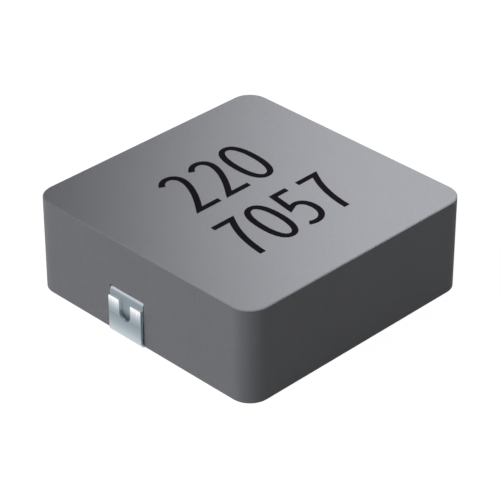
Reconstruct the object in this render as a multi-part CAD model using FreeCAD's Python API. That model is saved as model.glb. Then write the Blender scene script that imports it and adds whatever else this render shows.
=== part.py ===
"""Shielded power inductor for surface mounting, in millimetres.

A coil of flat enamelled copper wire, wound on edge, is pressed inside one block of iron powder and resin.
Both ends of the wire leave the block near the middle of a side and fold down it. Each is welded to a tinned
copper clip, whose foot under the block is the solder pad.

X runs from clip to clip and Z is up. The origin is on the board, under the middle of the block.
"""

import FreeCAD
import Part

import math
import os

from FreeCAD import Vector

# Pressed block
BLOCK_LENGTH = 12.6
BLOCK_WIDTH = 12.6
BLOCK_HEIGHT = 4.4
CORNER_RADIUS = 0.95
EDGE_CHAMFER = 0.04

# Flat wire and the coil wound from it, which keeps the side wall's distance from the block's sides
WIRE_WIDTH = 1.95
WIRE_THICKNESS = 0.36
WHOLE_TURNS = 5
TURN_GAP = 0.08
SIDE_WALL = 1.8

# Wire ends, coined thinner, which swing out of the last turn, step to just under the middle, pass out through
# the side and fold down it
TERMINAL_OFFSET = 0.72
EXIT_BELOW_MIDDLE = 0.18
WIRE_END_THICKNESS = 0.2
SWING_INNER_RADIUS = 0.65
STEP_INNER_RADIUS = 0.3
FOLD_INNER_RADIUS = 0.05
WIRE_PROUD = 0.02
WIRE_END_HEIGHT = 0.45

# Clips, each nearly as high as the straight stretch of the wire end that it is welded to
CLIP_WIDTH = 1.9
CLIP_THICKNESS = 0.12
CLIP_INNER_RADIUS = 0.1
CLIP_BELOW_FOLD = 0.12
FOOT_LENGTH = 2.3
NOTCH_WIDTH = 0.66
NOTCH_DEPTH = 0.88
PRONG_CORNER_RADIUS = 0.06

# Channels in the block, one round each clip
CHANNEL_CLEARANCE = 0.02
FOOT_RECESS = 0.07

# Worked out from the sizes above
STANDOFF = CLIP_THICKNESS - FOOT_RECESS
BLOCK_MIDDLE = STANDOFF + BLOCK_HEIGHT / 2
EXIT_HEIGHT = BLOCK_MIDDLE - EXIT_BELOW_MIDDLE
WIRE_FACE = BLOCK_LENGTH / 2 + WIRE_PROUD
CLIP_FACE = WIRE_FACE + CLIP_THICKNESS
FOLD_HEIGHT = EXIT_HEIGHT - WIRE_END_THICKNESS / 2 - FOLD_INNER_RADIUS
CLIP_HEIGHT = FOLD_HEIGHT - CLIP_BELOW_FOLD
CHANNEL_FLOOR = WIRE_FACE - WIRE_END_THICKNESS
CHANNEL_WIDTH = max(CLIP_WIDTH, WIRE_WIDTH) + 2 * CHANNEL_CLEARANCE

COIL_RADIUS = min(BLOCK_LENGTH, BLOCK_WIDTH) / 2 - SIDE_WALL
BORE_RADIUS = COIL_RADIUS - WIRE_WIDTH
PITCH = WIRE_THICKNESS + TURN_GAP
SWING_RADIUS = SWING_INNER_RADIUS + WIRE_WIDTH / 2
SWING_CENTRE_RADIUS = COIL_RADIUS + SWING_INNER_RADIUS
LEAVING_ANGLE = math.asin((TERMINAL_OFFSET + SWING_RADIUS) / SWING_CENTRE_RADIUS)
PART_TURN = 0.5 - LEAVING_ANGLE / math.pi
COIL_RISE = PITCH * (WHOLE_TURNS + PART_TURN)

LEFT = -1
RIGHT = 1
TINY = 1e-6


def box(x0, x1, y0, y1, z0, z1):
    """A box between two X, two Y and two Z places."""
    return Part.makeBox(abs(x1 - x0), y1 - y0, z1 - z0, Vector(min(x0, x1), y0, z0))


def sheet(outline, depth):
    """A closed outline, extruded by a vector."""
    return Part.Face(Part.Wire(Part.sortEdges(outline)[0])).extrude(depth)


def run(length):
    """A straight move along a bent strip: its length and the angle that it turns."""
    return length, 0


def bend(radius, angle):
    """A move round a bend of this middle line radius, where a positive angle turns upwards."""
    return radius * abs(angle), angle


def along(station, move, share):
    """The station a share of a move further on, where a station is a distance out, a height and a heading."""
    out, height, heading = station
    length, angle = share * move[0], share * move[1]
    if angle == 0:
        return out + length * math.cos(heading), height + length * math.sin(heading), heading
    radius = length / angle
    turned = heading + angle
    out += radius * (math.sin(turned) - math.sin(heading))
    height -= radius * (math.cos(turned) - math.cos(heading))
    return out, height, turned


def bent_strip(side, station, moves, thickness, width):
    """A strip whose middle line starts at a station and follows the moves, at the terminals' place in Y."""
    faces = {-thickness / 2: [], thickness / 2: []}
    ends = []

    def across(station):
        out, height, heading = station
        sine, cosine = math.sin(heading), math.cos(heading)
        return [Vector(side * (out - off * sine), 0, height + off * cosine) for off in faces]

    ends.append(Part.makeLine(*across(station)))
    for move in moves:
        stations = [along(station, move, share) for share in (0, 0.5, 1)]
        for edges, points in zip(faces.values(), zip(*map(across, stations))):
            edges.append(Part.Arc(*points).toShape() if move[1] else Part.makeLine(points[0], points[2]))
        station = stations[-1]
    ends.append(Part.makeLine(*across(station)))
    strip = sheet(ends + sum(faces.values(), []), Vector(0, width, 0))
    strip.translate(Vector(0, TERMINAL_OFFSET - width / 2, 0))
    return strip


def step(reach, drop, radius):
    """The moves of a step: two equal bends and a run between them, which go out by reach and down by drop."""
    span = reach ** 2 + drop ** 2
    radius = min(radius, span / (4 * abs(drop)))
    between = math.sqrt(max(span - 4 * radius * abs(drop), 0))
    angle = math.atan2(2 * radius, between) + math.atan2(abs(drop) - 2 * radius, reach)
    angle = math.copysign(angle, drop)
    moves = [bend(radius, -angle), run(between), bend(radius, angle)]
    return [move for move in moves if move[0] > TINY]


def wound(start, end, layers=1):
    """A stack of one or more layers of wire, swept up the coil's helix from one count of turns to another."""
    helix = Part.makeHelix(PITCH, PITCH * (end - start), COIL_RADIUS - WIRE_WIDTH / 2)
    low, high = -WIRE_THICKNESS / 2, WIRE_THICKNESS / 2 + PITCH * (layers - 1)
    corners = [(BORE_RADIUS, low), (COIL_RADIUS, low), (COIL_RADIUS, high), (BORE_RADIUS, high)]
    section = Part.makePolygon([Vector(x, 0, z) for x, z in corners + corners[:1]])
    stack = Part.Wire(helix).makePipeShell([section], True, True)
    stack.rotate(Vector(0, 0, 0), Vector(0, 0, 1), math.degrees(LEAVING_ANGLE) + 360 * start)
    stack.translate(Vector(0, 0, BLOCK_MIDDLE - COIL_RISE / 2 + PITCH * start))
    return stack


def swing(side, height):
    """The flat curve that carries a wire end from the last turn's round to straight out."""
    centre = SWING_CENTRE_RADIUS * Vector(math.cos(LEAVING_ANGLE), math.sin(LEAVING_ANGLE), 0)
    begin, end = math.pi + LEAVING_ANGLE, math.pi * 1.5

    def place(radius, angle):
        point = centre + radius * Vector(math.cos(angle), math.sin(angle), 0)
        return Vector(side * point.x, point.y, height - WIRE_THICKNESS / 2)

    near, far = SWING_INNER_RADIUS, SWING_INNER_RADIUS + WIRE_WIDTH
    angles = (begin, (begin + end) / 2, end)
    arcs = [Part.Arc(*[place(radius, angle) for angle in angles]).toShape() for radius in (near, far)]
    ends = [Part.makeLine(place(near, angle), place(far, angle)) for angle in (begin, end)]
    return sheet(arcs + ends, Vector(0, 0, WIRE_THICKNESS))


def wire_end(side, height):
    """The rest of a wire end, from the swing through the block's side and down the channel."""
    half = WIRE_END_THICKNESS / 2
    swing_end = SWING_CENTRE_RADIUS * math.cos(LEAVING_ANGLE)
    fold_start = CHANNEL_FLOOR - FOLD_INNER_RADIUS
    moves = step(fold_start - swing_end, height - EXIT_HEIGHT, STEP_INNER_RADIUS + half)
    moves += [bend(FOLD_INNER_RADIUS + half, -math.pi / 2), run(FOLD_HEIGHT - WIRE_END_HEIGHT)]
    return bent_strip(side, (swing_end, height, 0), moves, WIRE_END_THICKNESS, WIRE_WIDTH)


def ways_out():
    """The pieces of both wire ends, which leave the coil low on the right and high on the left."""
    heights = ((RIGHT, BLOCK_MIDDLE - COIL_RISE / 2), (LEFT, BLOCK_MIDDLE + COIL_RISE / 2))
    return [piece(side, height) for side, height in heights for piece in (swing, wire_end)]


def winding():
    """The coil and both its ends, as one length of wire."""
    return wound(0, WHOLE_TURNS + PART_TURN).fuse(ways_out()).removeSplitter()


def coil_space():
    """The room that the coil takes from the block, whose powder goes round its turns but not between them."""
    return [wound(0, PART_TURN, WHOLE_TURNS + 1), wound(PART_TURN, 1, WHOLE_TURNS)]


def notch(side):
    """The round-ended slot between a clip's two prongs."""
    radius = NOTCH_WIDTH / 2
    centre = CLIP_HEIGHT - NOTCH_DEPTH + radius
    start, length = side * (WIRE_FACE - CLIP_THICKNESS), 3 * CLIP_THICKNESS
    low, high = TERMINAL_OFFSET - radius, TERMINAL_OFFSET + radius
    slot = box(start, start + side * length, low, high, centre, 2 * CLIP_HEIGHT)
    round_end = Part.makeCylinder(radius, length, Vector(start, TERMINAL_OFFSET, centre), Vector(side, 0, 0))
    return slot.fuse(round_end)


def clip(side):
    """A strip folded to an upright plate with two prongs and a foot that runs back under the block."""
    fold = CLIP_THICKNESS + CLIP_INNER_RADIUS
    start = (WIRE_FACE + CLIP_THICKNESS / 2, CLIP_HEIGHT, -math.pi / 2)
    moves = [run(CLIP_HEIGHT - fold), bend(fold - CLIP_THICKNESS / 2, -math.pi / 2), run(FOOT_LENGTH - fold)]
    plate = bent_strip(side, start, moves, CLIP_THICKNESS, CLIP_WIDTH).cut(notch(side))
    top_edges = [edge for edge in plate.Edges if edge.BoundBox.ZMin > CLIP_HEIGHT - TINY]
    return plate.makeFillet(PRONG_CORNER_RADIUS, [edge for edge in top_edges if edge.BoundBox.YLength < TINY])


def channels(side):
    """The room that a clip and the wire end behind it take from the block, up its side and under it."""
    low, high = TERMINAL_OFFSET - CHANNEL_WIDTH / 2, TERMINAL_OFFSET + CHANNEL_WIDTH / 2
    top = EXIT_HEIGHT + WIRE_END_THICKNESS / 2 + CHANNEL_CLEARANCE
    foot_end = CLIP_FACE - FOOT_LENGTH - CHANNEL_CLEARANCE
    upright = box(side * CHANNEL_FLOOR, side * BLOCK_LENGTH, low, high, 0, top)
    return upright.fuse(box(side * foot_end, side * BLOCK_LENGTH, low, high, 0, CLIP_THICKNESS))


def block():
    """The block, pressed round the wire."""
    half_length, half_width = BLOCK_LENGTH / 2, BLOCK_WIDTH / 2
    solid = box(-half_length, half_length, -half_width, half_width, STANDOFF, STANDOFF + BLOCK_HEIGHT)
    solid = solid.makeFillet(CORNER_RADIUS, [edge for edge in solid.Edges if edge.BoundBox.ZLength > TINY])
    solid = solid.makeChamfer(EDGE_CHAMFER, [edge for edge in solid.Edges if edge.BoundBox.ZLength < TINY])
    return solid.cut([channels(LEFT), channels(RIGHT)] + coil_space() + ways_out())


def main():
    os.makedirs("parts", exist_ok=True)
    pieces = {
        "moulded_block": block(),
        "winding": winding(),
        "left_clip": clip(LEFT),
        "right_clip": clip(RIGHT),
    }
    for name, shape in pieces.items():
        shape.exportStep(os.path.join("parts", name + ".step"))
    return pieces


if __name__ == "__main__":
    main()
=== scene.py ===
import math

import bmesh
import bpy
from mathutils import Matrix, Vector
from mathutils.geometry import interpolate_bezier


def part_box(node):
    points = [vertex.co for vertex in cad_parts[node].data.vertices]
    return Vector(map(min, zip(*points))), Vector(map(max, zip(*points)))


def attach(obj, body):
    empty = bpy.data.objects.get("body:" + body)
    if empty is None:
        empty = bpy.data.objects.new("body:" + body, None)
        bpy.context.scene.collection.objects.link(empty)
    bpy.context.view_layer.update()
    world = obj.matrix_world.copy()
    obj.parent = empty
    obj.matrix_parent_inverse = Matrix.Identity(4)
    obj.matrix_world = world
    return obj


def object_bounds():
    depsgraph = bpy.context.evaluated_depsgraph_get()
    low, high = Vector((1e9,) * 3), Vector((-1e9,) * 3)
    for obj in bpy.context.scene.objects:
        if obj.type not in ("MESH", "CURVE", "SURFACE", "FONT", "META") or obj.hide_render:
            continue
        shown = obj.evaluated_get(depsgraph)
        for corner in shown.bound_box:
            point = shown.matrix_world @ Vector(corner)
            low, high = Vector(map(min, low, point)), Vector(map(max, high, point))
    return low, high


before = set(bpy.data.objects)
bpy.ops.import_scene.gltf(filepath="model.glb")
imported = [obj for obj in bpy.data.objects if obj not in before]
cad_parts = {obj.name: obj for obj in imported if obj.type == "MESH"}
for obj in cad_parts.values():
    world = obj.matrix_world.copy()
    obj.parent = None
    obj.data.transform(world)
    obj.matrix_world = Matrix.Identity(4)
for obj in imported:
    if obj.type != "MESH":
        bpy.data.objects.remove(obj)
cad_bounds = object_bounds()

# Winding: one length of flat copper wire, enamelled and wound on edge inside the block. Its two ends come
# out near the middle of two sides, stripped and tinned by dipping, and are folded down them.
MILLIMETRE = 0.001
COPPER = (0.72, 0.36, 0.2)
ENAMEL = (0.86, 0.55, 0.3, 1)
# A painted highlight for the top of the wire end's fold, where it faces up, over the plain satin tin.
TIN_PAINTED_HIGHLIGHT = (0.73, 0.78, 0.85)
TIN_SATIN = (0.27, 0.325, 0.355)
# A painted shade for the low part of the wire end, which lies in shade behind the clip's notch.
TIN_PAINTED_SHADE = (0.1, 0.125, 0.145)
WIRE_ROUGHNESS = 0.42

# A noise in a finish has a count to the millimetre, and its squeeze draws it out upright. Its shade is how
# far it changes the brightness, its dulling the roughness, and its depth the height, in millimetres.
DIP_RUNS_PER_MM = 9
DIP_RUN_SQUEEZE = 0.2
DIP_RUN_SHADE = 0.06
DIP_RUN_DULLING = 0.05
DIP_RUN_DEPTH = 0.004
TIN_GRAINS_PER_MM = 30
TIN_GRAIN_SHADE = 0.03
TIN_GRAIN_SHARE_OF_DEPTH = 0.4

# Where each mask begins and is whole, in millimetres or as a share of facing straight up.
TINNED_OUTSIDE = (5.9, 6.03)
# The wire end's painted shade fades out between these two heights.
UNSHADED_ABOVE = (1.05, 1.4)
# The fold's painted highlight grows as the fold turns to face up.
FOLD_FACES_UP = (0.25, 0.8)


class Signal:
    """A node's output. Arithmetic on it adds Math nodes, and node() adds a node of any other kind."""

    def __init__(self, tree, socket=None):
        self.tree = tree
        self.socket = socket

    def node(self, kind, settings, sockets, output=0):
        """A new node's output: its settings are set first, then the values or links of its sockets."""
        made = self.tree.nodes.new(kind)
        for name, setting in settings.items():
            if name == "stops":
                ramp = made.color_ramp.elements
                while len(ramp) < len(setting):
                    ramp.new(1)
                for stop, (place, colour) in zip(ramp, setting):
                    stop.position = place
                    stop.color = (*colour, 1)
            else:
                setattr(made, name, setting)
        for name, value in sockets.items():
            if isinstance(value, Signal):
                self.tree.links.new(value.socket, made.inputs[name])
            else:
                made.inputs[name].default_value = value
        return Signal(self.tree, made.outputs[output])

    def math(self, operation, *values):
        return self.node("ShaderNodeMath", {"operation": operation}, dict(enumerate(values)))

    def __add__(self, other):
        return self.math("ADD", self, other)

    def __sub__(self, other):
        return self.math("SUBTRACT", self, other)

    def __rsub__(self, other):
        return self.math("SUBTRACT", other, self)

    def __mul__(self, other):
        return self.math("MULTIPLY", self, other)

    __radd__ = __add__
    __rmul__ = __mul__

    def size(self):
        """The value without its sign."""
        return self.math("ABSOLUTE", self)

    def larger(self, other):
        return self.math("MAXIMUM", self, other)

    def rise(self, start, end):
        """A soft step: 0 where the value is at start, and 1 where it is at end."""
        sockets = {"Value": self, "From Min": start, "From Max": end}
        return self.node("ShaderNodeMapRange", {"interpolation_type": "SMOOTHSTEP"}, sockets)

    def between(self, first, second):
        """A colour, which is the first where the value is 0 and the second where it is 1."""
        first, second = [(*colour, 1) if isinstance(colour, tuple) else colour for colour in (first, second)]
        return self.node("ShaderNodeMix", {"data_type": "RGBA"}, {0: self, 6: first, 7: second}, 2)

    def brighten(self, colour):
        """A colour, made as many times brighter as the value."""
        return self.node("ShaderNodeVectorMath", {"operation": "SCALE"}, {0: colour, "Scale": self})

    def scaled(self, x, y, z):
        """A vector, scaled along each axis."""
        return self.node("ShaderNodeVectorMath", {"operation": "MULTIPLY"}, {0: self, 1: (x, y, z)})

    def axis(self, name):
        """One of a vector's three values."""
        return self.node("ShaderNodeSeparateXYZ", {}, {0: self}, name)

    def grain(self, per_millimetre, detail=2):
        """Soft noise between about -1 and 1, with this many grains to the millimetre."""
        sockets = {"Vector": self, "Scale": per_millimetre, "Detail": detail, "Roughness": 0.6}
        return self.node("ShaderNodeTexNoise", {}, sockets) * 4 - 2

    def upright_lines(self, per_millimetre, squeeze):
        """Grain drawn out upright, by squeezing its heights to this share."""
        return self.scaled(1, 1, squeeze).grain(per_millimetre)

    def relief(self, depth):
        """A normal bent by a height between -1 and 1, where 1 stands this many millimetres proud."""
        sockets = {"Strength": 1, "Distance": depth * MILLIMETRE, "Height": self}
        return self.node("ShaderNodeBump", {}, sockets)


def place_in_millimetres(material):
    """The place on the object, as a vector in millimetres."""
    place = Signal(material.node_tree).node("ShaderNodeTexCoord", {}, {}, "Object")
    return place.scaled(1 / MILLIMETRE, 1 / MILLIMETRE, 1 / MILLIMETRE)


def surface_direction(material):
    """The way that the surface faces, as a vector of length 1."""
    return Signal(material.node_tree).node("ShaderNodeNewGeometry", {}, {}, "Normal")


def new_material(name):
    material = bpy.data.materials.new(name)
    material.use_nodes = True
    return material


def finish(material, sockets):
    """Sets or links the sockets of the material's shader."""
    shader = material.node_tree.nodes["Principled BSDF"]
    for name, value in sockets.items():
        if isinstance(value, Signal):
            material.node_tree.links.new(value.socket, shader.inputs[name])
        else:
            shader.inputs[name].default_value = value


def dress(piece, material):
    """Gives every slot of a piece the material."""
    piece.data.materials.clear()
    piece.data.materials.append(material)


winding_finish = new_material("enamelled_and_tinned_wire")
place = place_in_millimetres(winding_finish)
facing = surface_direction(winding_finish)
dip_runs = place.upright_lines(DIP_RUNS_PER_MM, DIP_RUN_SQUEEZE)
tin_grain = place.grain(TIN_GRAINS_PER_MM)
tinned = place.axis("X").size().rise(*TINNED_OUTSIDE)
# Painted shade: the wire end is darker low down, behind the clip's notch.
painted_notch_shade = 1 - place.axis("Z").rise(*UNSHADED_ABOVE)
# Painted highlight: the fold is lighter where it faces up.
tin_with_painted_highlight = facing.axis("Z").rise(*FOLD_FACES_UP).between(TIN_SATIN, TIN_PAINTED_HIGHLIGHT)
shade = 1 + DIP_RUN_SHADE * dip_runs + TIN_GRAIN_SHADE * tin_grain
tin = shade.brighten(painted_notch_shade.between(tin_with_painted_highlight, TIN_PAINTED_SHADE))
finish(winding_finish, {
    "Base Color": tinned.between(COPPER, tin),
    "Metallic": 1,
    "Roughness": WIRE_ROUGHNESS + DIP_RUN_DULLING * dip_runs,
    "Coat Weight": 1 - tinned,
    "Coat Tint": ENAMEL,
    "Normal": (dip_runs + TIN_GRAIN_SHARE_OF_DEPTH * tin_grain).relief(DIP_RUN_DEPTH),
})
dress(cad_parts["winding"], winding_finish)

# Pressed block: iron powder and resin, pressed round the winding in a die and cured. The punches leave a
# fine powder grain on the top and the bottom, and the die draws faint upright lines on the sides.
POWDER = (0.216, 0.22, 0.236)
BLOCK_ROUGHNESS = 0.66
BLOCK_GLOSS = 0.15
POWDER_GRAINS_PER_MM = 16
POWDER_GRAIN_SHADE = 0.035
POWDER_GRAIN_DULLING = 0.04
POWDER_GRAIN_DEPTH = 0.006
CLOUDS_PER_MM = 0.5
CLOUD_SHADE = 0.012
DRAW_LINES_PER_MM = 11
DRAW_LINE_SQUEEZE = 0.04
DRAW_LINE_SHADE = 0.02
DRAW_LINE_SHARE_OF_DEPTH = 0.35
FACES_UP_OR_DOWN = (0.1, 0.6)

block_finish = new_material("pressed_iron_powder")
place = place_in_millimetres(block_finish)
powder_grain = place.grain(POWDER_GRAINS_PER_MM, detail=3)
clouds = place.grain(CLOUDS_PER_MM)
side = 1 - surface_direction(block_finish).axis("Z").size().rise(*FACES_UP_OR_DOWN)
draw_lines = place.upright_lines(DRAW_LINES_PER_MM, DRAW_LINE_SQUEEZE) * side
shade = 1 + POWDER_GRAIN_SHADE * powder_grain + CLOUD_SHADE * clouds + DRAW_LINE_SHADE * draw_lines
finish(block_finish, {
    "Base Color": shade.brighten(POWDER),
    "Roughness": BLOCK_ROUGHNESS + POWDER_GRAIN_DULLING * powder_grain,
    "Specular IOR Level": BLOCK_GLOSS,
    "Normal": (powder_grain + DRAW_LINE_SHARE_OF_DEPTH * draw_lines).relief(POWDER_GRAIN_DEPTH),
})
dress(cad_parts["moulded_block"], block_finish)

# Clips: stamped from thin tinned copper strip, notched, folded and welded to the wire's ends. A painted
# reflection runs up the face, lighter at the tips and at the fold and darker between them; under the foot
# the tin is a plain satin. The sheared edges are rougher, in a tone that is partly their own and partly
# painted shade, and the upper walls of the notch carry painted light.
# The sheared edges' tone is partly their own and partly painted shade; the upper walls of the notch get
# painted light.
SHEARED_TONE_AND_PAINTED_SHADE = (0.5, 0.57, 0.6)
NOTCH_WALL_PAINTED_LIGHT = (0.85, 0.9, 0.93)
FOOT_SATIN = (0.56, 0.59, 0.62)
STRIP_ROUGHNESS = 0.34
SHEARED_DULLING = 0.15
BRUSH_LINES_PER_MM = 14
BRUSH_LINE_SQUEEZE = 0.06
BRUSH_LINE_SHADE = 0.05
BRUSH_LINE_DULLING = 0.03
BRUSH_LINE_DEPTH = 0.002
STRIP_GRAIN_SHADE = 0.02
CLIP_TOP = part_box("left_clip")[1].z / MILLIMETRE
CLIP_MIDDLE = (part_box("left_clip")[0].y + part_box("left_clip")[1].y) / 2 / MILLIMETRE

# The painted reflection up the clip's face, from 0 at the board to 1 at the tips: lighter at the fold and
# the tips, darker in the middle. The brush lines shift it by about this share of the height, so that no band
# of it is dead straight.
PAINTED_REFLECTION_SHIFT = 0.03
CLIP_PAINTED_REFLECTION = (
    (0.0, (0.84, 0.85, 0.86)),
    (0.05, (0.73, 0.755, 0.78)),
    (0.1, (0.55, 0.595, 0.625)),
    (0.18, (0.505, 0.56, 0.592)),
    (0.25, (0.423, 0.481, 0.515)),
    (0.38, (0.33, 0.382, 0.427)),
    (0.55, (0.258, 0.315, 0.35)),
    (0.7, (0.37, 0.435, 0.467)),
    (0.83, (0.6, 0.638, 0.678)),
    (0.89, (0.8, 0.83, 0.86)),
    (0.95, (0.99, 0.99, 1.0)),
)

# Where each mask begins and is whole. A sheared edge faces along Y, or up between the heights of the notch's
# floor. The notch's walls are the edges above that and near the clip's middle. The foot faces down.
FACES_ALONG_Y = (0.3, 0.7)
FACES_UP = (0.2, 0.6)
NOTCH_FLOOR_BOTTOM = (0.5, 0.7)
NOTCH_FLOOR_TOP = (1.5, 1.65)
NOTCH_WALL_BOTTOM = (1.15, 1.4)
OUTSIDE_THE_NOTCH = (0.4, 0.7)
FACES_DOWN = (0.5, 0.9)

clip_finish = new_material("tinned_strip")
place = place_in_millimetres(clip_finish)
facing = surface_direction(clip_finish)
brush_lines = place.upright_lines(BRUSH_LINES_PER_MM, BRUSH_LINE_SQUEEZE)
tin_grain = place.grain(TIN_GRAINS_PER_MM)
height = place.axis("Z")
share_of_height = height * (1 / CLIP_TOP) + PAINTED_REFLECTION_SHIFT * brush_lines
# Painted reflection: the clip's face is lighter at the fold and the tips, and darker between them.
painted_reflection = share_of_height.node("ShaderNodeValToRGB", {"stops": CLIP_PAINTED_REFLECTION}, {0: share_of_height})
at_the_notch_floor = height.rise(*NOTCH_FLOOR_BOTTOM) - height.rise(*NOTCH_FLOOR_TOP)
notch_floor = facing.axis("Z").rise(*FACES_UP) * at_the_notch_floor
sheared = facing.axis("Y").size().rise(*FACES_ALONG_Y).larger(notch_floor)
in_the_notch = 1 - (place.axis("Y") - CLIP_MIDDLE).size().rise(*OUTSIDE_THE_NOTCH)
# Painted light on the upper walls of the notch, over the sheared tone with its painted shade below them.
sheared_tone_and_painted_light = (height.rise(*NOTCH_WALL_BOTTOM) * in_the_notch).between(SHEARED_TONE_AND_PAINTED_SHADE, NOTCH_WALL_PAINTED_LIGHT)
underneath = (0 - facing.axis("Z")).rise(*FACES_DOWN)
shade = 1 + BRUSH_LINE_SHADE * brush_lines + STRIP_GRAIN_SHADE * tin_grain
# Under the foot the painted reflection gives way to a plain satin tin.
face = shade.brighten(underneath.between(painted_reflection, FOOT_SATIN))
finish(clip_finish, {
    "Base Color": sheared.between(face, sheared_tone_and_painted_light),
    "Metallic": 1,
    "Roughness": STRIP_ROUGHNESS + BRUSH_LINE_DULLING * brush_lines + SHEARED_DULLING * sheared,
    "Normal": (brush_lines + TIN_GRAIN_SHARE_OF_DEPTH * tin_grain).relief(BRUSH_LINE_DEPTH),
})
for clip in ("left_clip", "right_clip"):
    dress(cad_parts[clip], clip_finish)

# Marking: two lines of plain numbers in black ink, pad printed on the top in one go. The ink is a film of
# about a hundredth of a millimetre, and sinks a little into the powder.
INK = (0.0048, 0.0038, 0.0056)
INK_ROUGHNESS = 0.5
INK_GLOSS = 0.01
INK_GRAINS_PER_MM = 18
INK_GRAIN_SHADE = 0.25
INK_GRAIN_DULLING = 0.06
INK_GRAIN_DEPTH = 0.003
INK_THICKNESS = 0.01
INK_SUNK = 0.003
MARKING_SLANT = math.radians(4.5)
MARKING_TURN = math.radians(0.7)

# Each line has its digits, their height, where the first begins, the baseline, and the way from digit to
# digit, in millimetres. Places are from the middle of the top.
MARKING_LINES = (
    ("220", 2.93, -2.53, 0.5, 1.72),
    ("7057", 2.76, -3.33, -3.44, 1.64),
)

# A flat pen draws the digits. PEN is half its width, across and up the digit, in millimetres. Each digit is
# one stroke, in shares of its height: its start, then points to go straight to, or two handles and the end
# of a curve.
PEN = Vector((0.152, 0.13))
CURVE_POINTS = 13
SAME_POINT = 0.01
DIGIT_STROKES = {
    "0": (
        ((0.25, 0.965),),
        ((0.385, 0.965), (0.45, 0.78), (0.45, 0.5)),
        ((0.45, 0.22), (0.385, 0.035), (0.25, 0.035)),
        ((0.115, 0.035), (0.05, 0.22), (0.05, 0.5)),
        ((0.05, 0.78), (0.115, 0.965), (0.25, 0.965)),
    ),
    "2": (
        ((0.07, 0.85),),
        ((0.11, 0.92), (0.17, 0.96), (0.235, 0.96)),
        ((0.345, 0.96), (0.41, 0.88), (0.41, 0.765)),
        ((0.41, 0.6), (0.29, 0.36), (0.165, 0.174)),
        ((0.075, 0.042),),
        ((0.47, 0.042),),
    ),
    "5": (
        ((0.43, 0.958),),
        ((0.14, 0.958),),
        ((0.1, 0.535),),
        ((0.18, 0.572),),
        ((0.2, 0.581), (0.22, 0.585), (0.24, 0.585)),
        ((0.35, 0.585), (0.425, 0.48), (0.425, 0.32)),
        ((0.425, 0.15), (0.32, 0.038), (0.185, 0.038)),
        ((0.13, 0.038), (0.09, 0.05), (0.05, 0.075)),
    ),
    "7": (
        ((0.06, 0.958),),
        ((0.445, 0.958),),
        ((0.385, 0.84),),
        ((0.27, 0.61), (0.2, 0.3), (0.2, 0.0)),
    ),
}


def middle_line(stroke):
    """The points of a pen stroke, with its curves divided."""
    points = [Vector(stroke[0][0])]
    for piece in stroke[1:]:
        if len(piece) == 1:
            points.append(Vector(piece[0]))
        else:
            handles_and_end = [Vector(point) for point in piece]
            points += interpolate_bezier(points[-1], *handles_and_end, CURVE_POINTS)[1:]
    return points


def inked(points):
    """Pairs of points on the two sides of a stroke, which a flat pen draws with mitred corners."""
    points = [Vector((point.x / PEN.x, point.y / PEN.y)) for point in points]
    closed = (points[0] - points[-1]).length < SAME_POINT
    if closed:
        points.pop()
    count = len(points)
    pairs = []
    for index, point in enumerate(points):
        before = point - points[index - 1]
        after = points[(index + 1) % count] - point
        if not closed and index == 0:
            before = after
        if not closed and index == count - 1:
            after = before
        normals = [Vector((-step.y, step.x)).normalized() for step in (before, after)]
        mitre = (normals[0] + normals[1]) / (1 + normals[0].dot(normals[1]))
        pairs.append([Vector((side.x * PEN.x, side.y * PEN.y)) for side in (point + mitre, point - mitre)])
    return pairs, closed


def on_the_top(point, origin):
    """The place on the block's top, in metres, of a digit's point, slanted and turned as the print is."""
    slanted = Vector((point.x + point.y * math.tan(MARKING_SLANT), point.y))
    return Matrix.Rotation(MARKING_TURN, 2) @ (origin + slanted) * MILLIMETRE


def print_digit(mesh, pairs, closed, origin):
    """Adds a digit's film of ink to the mesh, with four corners at each pair of points."""
    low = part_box("moulded_block")[1].z - INK_SUNK * MILLIMETRE
    high = low + INK_THICKNESS * MILLIMETRE
    rings = []
    for pair in pairs:
        left, right = [on_the_top(point, origin) for point in pair]
        corners = ((left, low), (left, high), (right, high), (right, low))
        rings.append([mesh.verts.new((flat.x, flat.y, level)) for flat, level in corners])
    following_rings = rings[1:] + rings[:1] if closed else rings[1:]
    for ring, following in zip(rings, following_rings):
        for corner in range(4):
            beside = (corner + 1) % 4
            mesh.faces.new((ring[corner], ring[beside], following[beside], following[corner]))
    if not closed:
        mesh.faces.new(rings[0])
        mesh.faces.new(rings[-1])


ink_mesh = bmesh.new()
for digits, digit_height, start, baseline, advance in MARKING_LINES:
    for index, digit in enumerate(digits):
        line = [digit_height * point for point in middle_line(DIGIT_STROKES[digit])]
        print_digit(ink_mesh, *inked(line), Vector((start + index * advance, baseline)))
bmesh.ops.recalc_face_normals(ink_mesh, faces=ink_mesh.faces)
marking = bpy.data.objects.new("marking", bpy.data.meshes.new("marking"))
ink_mesh.to_mesh(marking.data)
ink_mesh.free()
bpy.context.scene.collection.objects.link(marking)

ink_finish = new_material("black_ink")
ink_grain = place_in_millimetres(ink_finish).grain(INK_GRAINS_PER_MM, detail=3)
finish(ink_finish, {
    "Base Color": (1 + INK_GRAIN_SHADE * ink_grain).brighten(INK),
    "Roughness": INK_ROUGHNESS + INK_GRAIN_DULLING * ink_grain,
    "Specular IOR Level": INK_GLOSS,
    "Normal": ink_grain.relief(INK_GRAIN_DEPTH),
})
dress(marking, ink_finish)
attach(marking, "root")

# Floor and room: a plain sheet a hair below the feet, and even light all round. The camera and the metal
# see both as white: the floor as part plain white and part lit sheet, which keeps the shadow. From below
# the floor is clear.
FLOOR_REACH = 0.4
FLOOR_GAP = 0.000005
FLOOR_GREY = 0.4
FLOOR_WHITE = 1.75
FLOOR_WHITE_SHARE = 0.55
ROOM_LIGHT = 0.158


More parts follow.
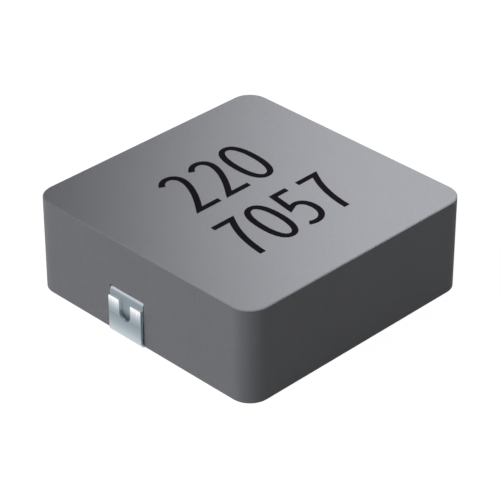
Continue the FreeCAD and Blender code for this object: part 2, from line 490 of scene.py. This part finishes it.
def seen_directly(signal):
    """1 for what the camera sees, directly or by a mirror or glass, and 0 for the light on other things."""
    rays = [signal.node("ShaderNodeLightPath", {}, {}, f"Is {ray} Ray")
            for ray in ("Camera", "Glossy", "Transmission")]
    return rays[0].larger(rays[1]).larger(rays[2])


floor_corners = [(across * FLOOR_REACH, along * FLOOR_REACH, -FLOOR_GAP)
                 for across, along in ((-1, -1), (1, -1), (1, 1), (-1, 1))]
floor = bpy.data.objects.new("floor", bpy.data.meshes.new("floor"))
floor.data.from_pydata(floor_corners, [], [range(4)])
bpy.context.scene.collection.objects.link(floor)

floor_finish = new_material("pale_floor")
floor_nodes = Signal(floor_finish.node_tree)
matt = floor_nodes.node("ShaderNodeBsdfDiffuse", {}, {"Color": (FLOOR_GREY, FLOOR_GREY, FLOOR_GREY, 1)})
white = floor_nodes.node("ShaderNodeEmission", {}, {"Strength": FLOOR_WHITE})
clear = floor_nodes.node("ShaderNodeBsdfTransparent", {}, {})
white_share = seen_directly(floor_nodes) * FLOOR_WHITE_SHARE
lit_floor = floor_nodes.node("ShaderNodeMixShader", {}, {0: white_share, 1: matt, 2: white})
from_below = floor_nodes.node("ShaderNodeNewGeometry", {}, {}, "Backfacing")
floor_surface = floor_nodes.node("ShaderNodeMixShader", {}, {0: from_below, 1: lit_floor, 2: clear})
floor_output = floor_finish.node_tree.nodes["Material Output"]
floor_finish.node_tree.links.new(floor_surface.socket, floor_output.inputs["Surface"])
dress(floor, floor_finish)

room = bpy.data.worlds.new("room")
room.use_nodes = True
bpy.context.scene.world = room
room_nodes = Signal(room.node_tree)
room_strength = seen_directly(room_nodes) * (1 - ROOM_LIGHT) + ROOM_LIGHT
room.node_tree.links.new(room_strength.socket, room.node_tree.nodes["Background"].inputs["Strength"])
room.node_tree.nodes["Background"].inputs["Color"].default_value = (1, 1, 1, 1)

# Lamps: a soft one low on the left, a weaker one behind, one straight below for the underside, and one
# above, whose soft edge falls across the top. At a level of 1, a colour that faces a lamp shows as written.
# Each far lamp has its name, the way towards it, its level, and its width in degrees.
FAR_LAMPS = (
    ("left_lamp", (-0.866, 0.5, 0.0), 1.13, 110),
    ("back_lamp", (0.706, 0.706, 0.052), 0.4, 50),
    ("under_lamp", (0.0, 0.0, -1.0), 0.7, 4),
)

for name, towards, level, width in FAR_LAMPS:
    lamp = bpy.data.objects.new(name, bpy.data.lights.new(name, "SUN"))
    lamp.rotation_mode = "QUATERNION"
    lamp.rotation_quaternion = Vector(towards).to_track_quat("Z", "Y")
    lamp.data.energy = math.pi * level
    lamp.data.angle = math.radians(width)
    lamp.visible_glossy = False
    bpy.context.scene.collection.objects.link(lamp)

# The lamp above aims to the right of the block, so that the left edge of its cone falls across the top. Its
# height, aim, reach and radius are in metres. Its power grows with the square of its height.
TOP_LAMP_HEIGHT = 0.5
TOP_LAMP_LEVEL = 1.28
TOP_LAMP_AIM = 0.0882
TOP_LAMP_REACH = 0.0979
TOP_LAMP_SOFTNESS = 0.31
TOP_LAMP_RADIUS = 0.002

top_lamp = bpy.data.objects.new("top_lamp", bpy.data.lights.new("top_lamp", "SPOT"))
right = Vector((1, -1, 0)).normalized()
down = Vector((0, 0, -TOP_LAMP_HEIGHT))
aim = (right * TOP_LAMP_AIM + down).normalized()
edge = (right * (TOP_LAMP_AIM - TOP_LAMP_REACH) + down).normalized()
top_lamp.location = (0, 0, TOP_LAMP_HEIGHT + cad_bounds[1].z)
top_lamp.rotation_mode = "QUATERNION"
top_lamp.rotation_quaternion = (-aim).to_track_quat("Z", "Y")
top_lamp.data.energy = 4 * math.pi ** 2 * TOP_LAMP_HEIGHT ** 2 * TOP_LAMP_LEVEL
top_lamp.data.spot_size = 2 * aim.angle(edge)
top_lamp.data.spot_blend = TOP_LAMP_SOFTNESS
top_lamp.data.shadow_soft_size = TOP_LAMP_RADIUS
bpy.context.scene.collection.objects.link(top_lamp)

# A collection that leaves out the floor stands for all the rest. The lamps above and below light only that,
# and the floor doesn't stop the lamp below.
all_but_the_floor = bpy.data.collections.new("all_but_the_floor")
all_but_the_floor.objects.link(floor)
all_but_the_floor.collection_objects[0].light_linking.link_state = "EXCLUDE"
under_lamp = bpy.data.objects["under_lamp"]
for lamp in (top_lamp, under_lamp):
    lamp.light_linking.receiver_collection = all_but_the_floor
under_lamp.light_linking.blocker_collection = all_but_the_floor

# Camera: in front of the corner between the left side and the front, about eight block lengths away, and
# looking down on the top. Lens and film are in millimetres, and the rest in metres.
CAMERA_AZIMUTH = math.radians(-45)
CAMERA_ELEVATION = math.radians(32.58)
CAMERA_DISTANCE = 0.09962
CAMERA_AIM = Vector((0, 0, 0.00175))
CAMERA_LENS = 172.14
CAMERA_FILM = 36
CAMERA_NEAR = 0.001
CAMERA_FAR = 2

camera = bpy.data.objects.new("camera", bpy.data.cameras.new("camera"))
level_back = Vector((math.sin(CAMERA_AZIMUTH), -math.cos(CAMERA_AZIMUTH), 0))
back = level_back * math.cos(CAMERA_ELEVATION) + Vector((0, 0, math.sin(CAMERA_ELEVATION)))
camera.location = CAMERA_AIM + back * CAMERA_DISTANCE
camera.rotation_mode = "QUATERNION"
camera.rotation_quaternion = back.to_track_quat("Z", "Y")
camera.data.lens = CAMERA_LENS
camera.data.sensor_width = CAMERA_FILM
camera.data.clip_start = CAMERA_NEAR
camera.data.clip_end = CAMERA_FAR
bpy.context.scene.collection.objects.link(camera)
bpy.context.scene.camera = camera
bpy.context.scene.view_settings.view_transform = "Standard"
